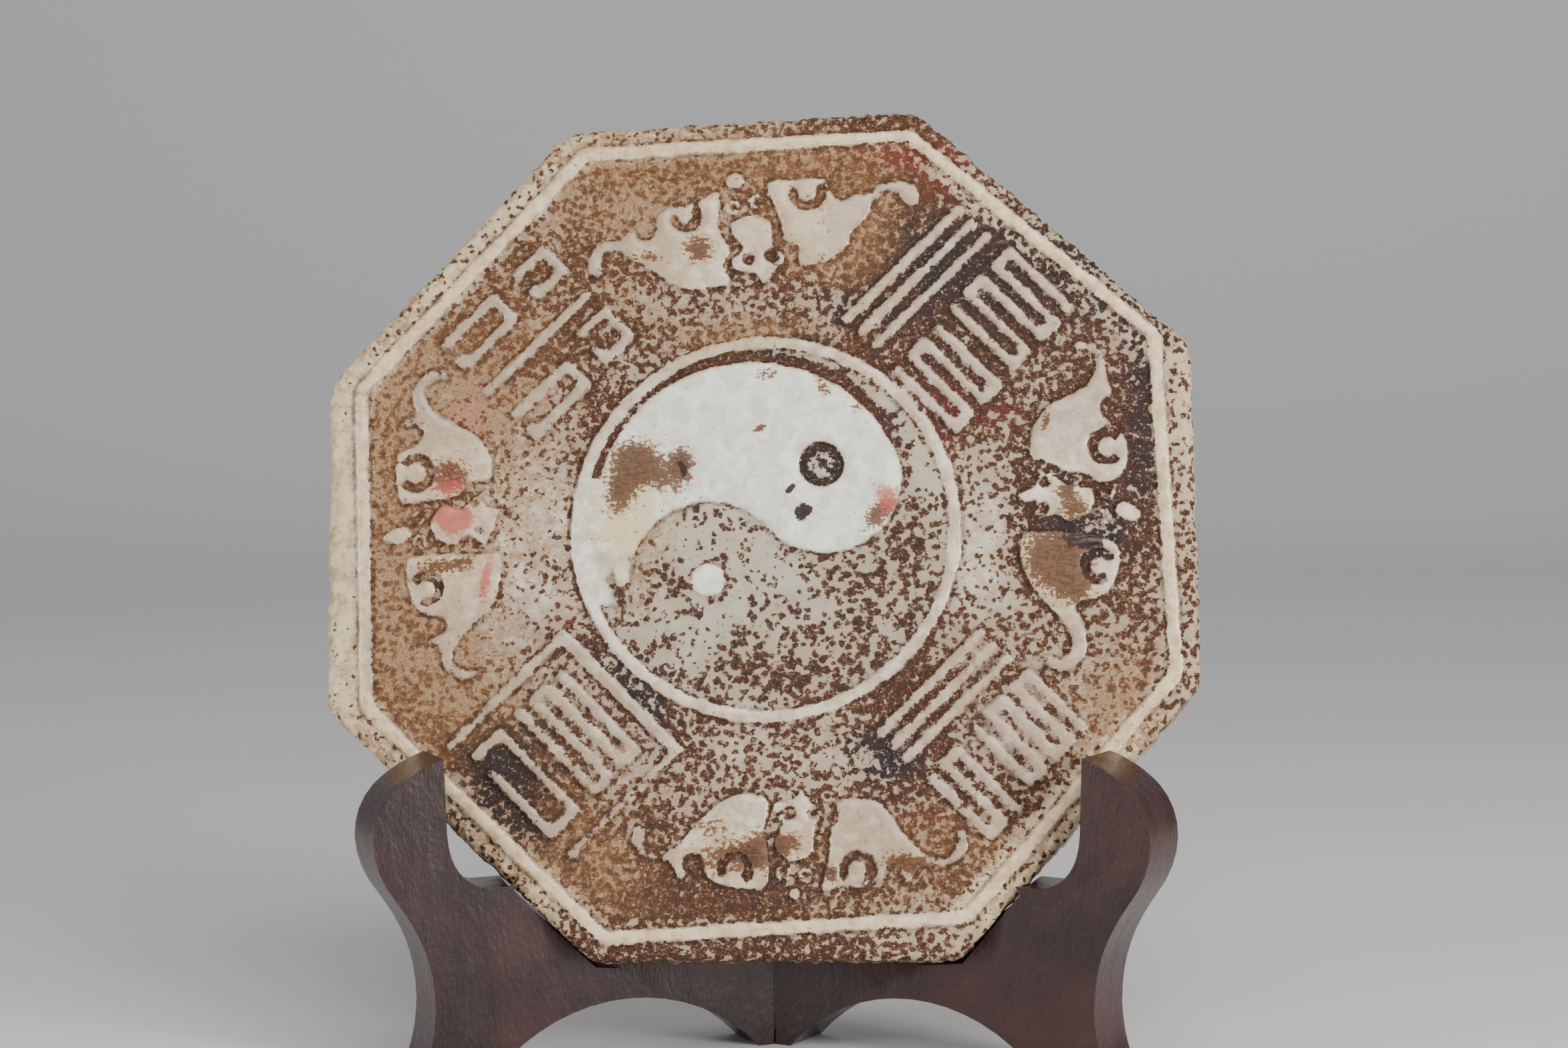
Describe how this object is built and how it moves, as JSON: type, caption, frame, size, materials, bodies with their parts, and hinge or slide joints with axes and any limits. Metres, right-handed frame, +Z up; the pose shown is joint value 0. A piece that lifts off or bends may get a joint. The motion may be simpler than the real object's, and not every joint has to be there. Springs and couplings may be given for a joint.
{
  "type": "carved jade plaque on stand",
  "caption": "Octagonal carved jade plaque with a twin-drop disc, bats and frets in low relief, leaning back in a lacquered wooden V-shaped stand.",
  "frame": {"origin": "on the floor under the middle of the whole object's box", "axes": "+Z up, -Y out of the carved face towards the viewer, +X to the viewer's right"},
  "size_m": [0.2016, 0.077, 0.2167],
  "materials": {
    "jade": "pale grey-green jade, polished on the raised carving, with brown dirt and pits in the ground",
    "lacquered_wood": "dark red-brown lacquer, hand brushed and glossy"
  },
  "bodies": {
    "root": {"jade_plaque": "jade", "stand_leaf_left": "lacquered_wood", "stand_leaf_right": "lacquered_wood"}
  },
  "joints": []
}
